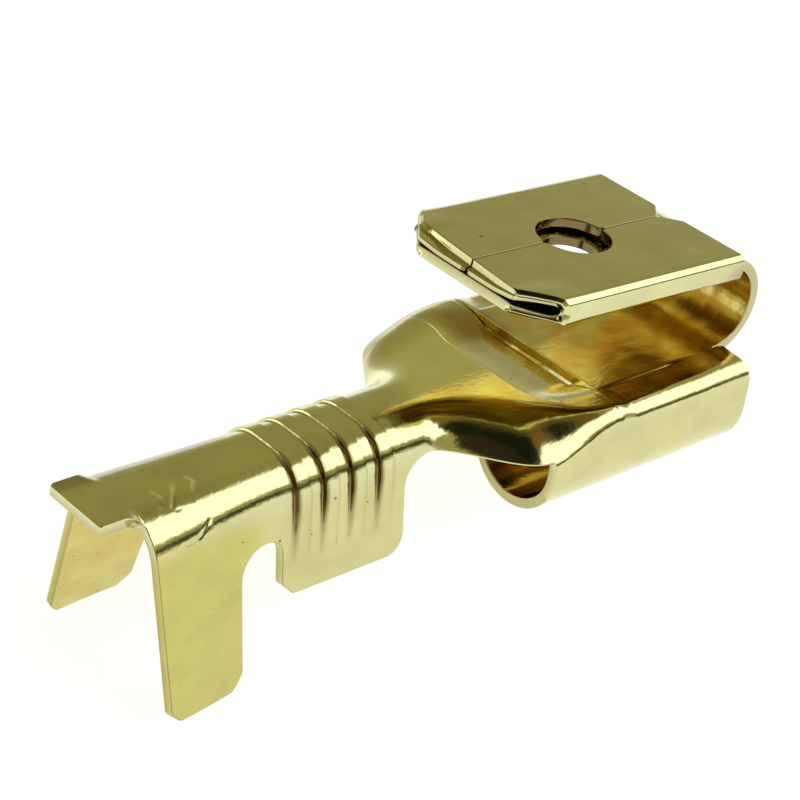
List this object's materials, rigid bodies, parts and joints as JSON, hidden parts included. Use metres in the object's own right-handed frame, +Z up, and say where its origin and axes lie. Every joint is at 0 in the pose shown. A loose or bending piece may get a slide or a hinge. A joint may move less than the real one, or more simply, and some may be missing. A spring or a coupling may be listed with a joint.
{
  "type": "piggyback blade terminal",
  "caption": "Uninsulated brass crimp terminal folded from one strip: a rolled socket for a flat blade, a folded blade tab stacked above it, and open wire and insulation barrels.",
  "frame": {"origin": "middle of the lowest face of the bounding box, on the surface that the terminal lies on", "axes": "+X from the wire end to the mouth of the socket, +Y across the socket, +Z up, with the base pitched as it rests"},
  "size_m": [0.0224, 0.0076, 0.008],
  "materials": {
    "brass_sheet": "bright rolled brass sheet with fine rolling lines"
  },
  "bodies": {
    "root": {"terminal": "brass_sheet"}
  },
  "joints": []
}
